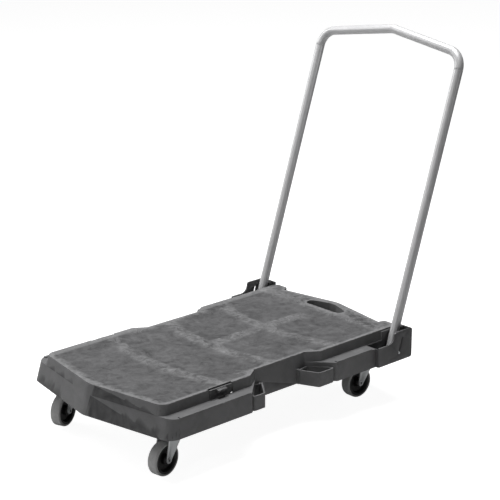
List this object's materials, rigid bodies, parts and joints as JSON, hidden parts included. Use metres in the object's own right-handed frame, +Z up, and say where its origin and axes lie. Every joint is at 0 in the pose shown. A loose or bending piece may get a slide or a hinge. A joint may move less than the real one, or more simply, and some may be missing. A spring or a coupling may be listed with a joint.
{
  "type": "folding platform cart",
  "caption": "Low moulded platform cart on swivel casters, with a tubular push handle that lifts, folds forward and lies round the edge of the deck.",
  "frame": {"origin": "on the floor under the middle of the bounding box, handle open", "axes": "+X from the front of the deck towards the handle end, +Y to the right-hand side of a person who pushes it, +Z up"},
  "size_m": [1.0035, 0.523, 0.858],
  "materials": {
    "deck_plastic": "charcoal moulded structural plastic, fine leather grain",
    "bracket_plastic": "charcoal glass-filled plastic, smoother than the deck",
    "black_plastic": "black moulded plastic",
    "wheel_plastic": "black moulded nylon wheel centre",
    "grey_rubber": "grey non-marking rubber",
    "silver_tube": "silver-grey powder coat on steel tube",
    "zinc_steel": "bright zinc-plated pressed steel",
    "black_steel": "black oxide screws"
  },
  "bodies": {
    "deck": {"deck_shell": "deck_plastic", "underside_ribs": "deck_plastic", "caster_mounts": "deck_plastic", "caster_bolts": "zinc_steel", "left_bracket": "bracket_plastic", "right_bracket": "bracket_plastic", "bracket_screws": "black_steel", "front_left_plate": "zinc_steel", "front_right_plate": "zinc_steel", "rear_left_plate": "zinc_steel", "rear_right_plate": "zinc_steel"},
    "lift": {"pivot_pins": "zinc_steel", "pivot_spacers": "black_plastic"},
    "handle": {"left_leg": "silver_tube", "right_leg": "silver_tube", "handle_bow": "silver_tube", "tube_plugs": "black_plastic"},
    "left_catch": {"left_latch": "deck_plastic"},
    "right_catch": {"right_latch": "deck_plastic"},
    "front_left_swivel": {"front_left_kingpin": "zinc_steel", "front_left_fork": "zinc_steel", "front_left_axle": "zinc_steel"},
    "front_left_wheel": {"front_left_core": "wheel_plastic", "front_left_tread": "grey_rubber"},
    "front_right_swivel": {"front_right_kingpin": "zinc_steel", "front_right_fork": "zinc_steel", "front_right_axle": "zinc_steel"},
    "front_right_wheel": {"front_right_core": "wheel_plastic", "front_right_tread": "grey_rubber"},
    "rear_left_swivel": {"rear_left_kingpin": "zinc_steel", "rear_left_fork": "zinc_steel", "rear_left_axle": "zinc_steel"},
    "rear_left_wheel": {"rear_left_core": "wheel_plastic", "rear_left_tread": "grey_rubber"},
    "rear_right_swivel": {"rear_right_kingpin": "zinc_steel", "rear_right_fork": "zinc_steel", "rear_right_axle": "zinc_steel"},
    "rear_right_wheel": {"rear_right_core": "wheel_plastic", "rear_right_tread": "grey_rubber"}
  },
  "joints": [
    {"name": "handle_lift", "type": "slide", "parent": "deck", "child": "lift", "axis": [0.314, 0, 0.9494], "range_m": [0, 0.0371]},
    {"name": "handle_fold", "type": "hinge", "parent": "lift", "child": "handle", "pos_m": [0.25173, 0, 0.1245], "axis": [0, -1, 0], "range_deg": [0, 108.3]},
    {"name": "left_latch_flex", "type": "hinge", "parent": "deck", "child": "left_catch", "pos_m": [-0.27977, -0.21, 0.15], "axis": [-1, 0, 0], "range_deg": [0, 8], "stiffness_Nm_per_rad": 2},
    {"name": "right_latch_flex", "type": "hinge", "parent": "deck", "child": "right_catch", "pos_m": [-0.27977, 0.21, 0.15], "axis": [1, 0, 0], "range_deg": [0, 8], "stiffness_Nm_per_rad": 2},
    {"name": "front_left_swivel", "type": "hinge", "parent": "deck", "child": "front_left_swivel", "pos_m": [-0.40177, -0.185, 0.09], "axis": [0, 0, 1], "continuous": true},
    {"name": "front_left_spin", "type": "hinge", "parent": "front_left_swivel", "child": "front_left_wheel", "pos_m": [-0.42851, -0.18876, 0.0381], "axis": [-0.1392, 0.9903, 0], "continuous": true},
    {"name": "front_right_swivel", "type": "hinge", "parent": "deck", "child": "front_right_swivel", "pos_m": [-0.40177, 0.185, 0.09], "axis": [0, 0, 1], "continuous": true},
    {"name": "front_right_spin", "type": "hinge", "parent": "front_right_swivel", "child": "front_right_wheel", "pos_m": [-0.42697, 0.17532, 0.0381], "axis": [-0.3584, 0.9336, 0], "continuous": true},
    {"name": "rear_left_swivel", "type": "hinge", "parent": "deck", "child": "rear_left_swivel", "pos_m": [0.22823, -0.17, 0.09], "axis": [0, 0, 1], "continuous": true},
    {"name": "rear_left_spin", "type": "hinge", "parent": "rear_left_swivel", "child": "rear_left_wheel", "pos_m": [0.20127, -0.16859, 0.0381], "axis": [0.0523, 0.9986, 0], "continuous": true},
    {"name": "rear_right_swivel", "type": "hinge", "parent": "deck", "child": "rear_right_swivel", "pos_m": [0.22823, 0.17, 0.09], "axis": [0, 0, 1], "continuous": true},
    {"name": "rear_right_spin", "type": "hinge", "parent": "rear_right_swivel", "child": "rear_right_wheel", "pos_m": [0.20182, 0.16439, 0.0381], "axis": [-0.2079, 0.9781, 0], "continuous": true}
  ],
  "couplings": [
    {"joint": "handle_lift", "follows": "handle_fold", "m_per_rad": 0.019575}
  ]
}
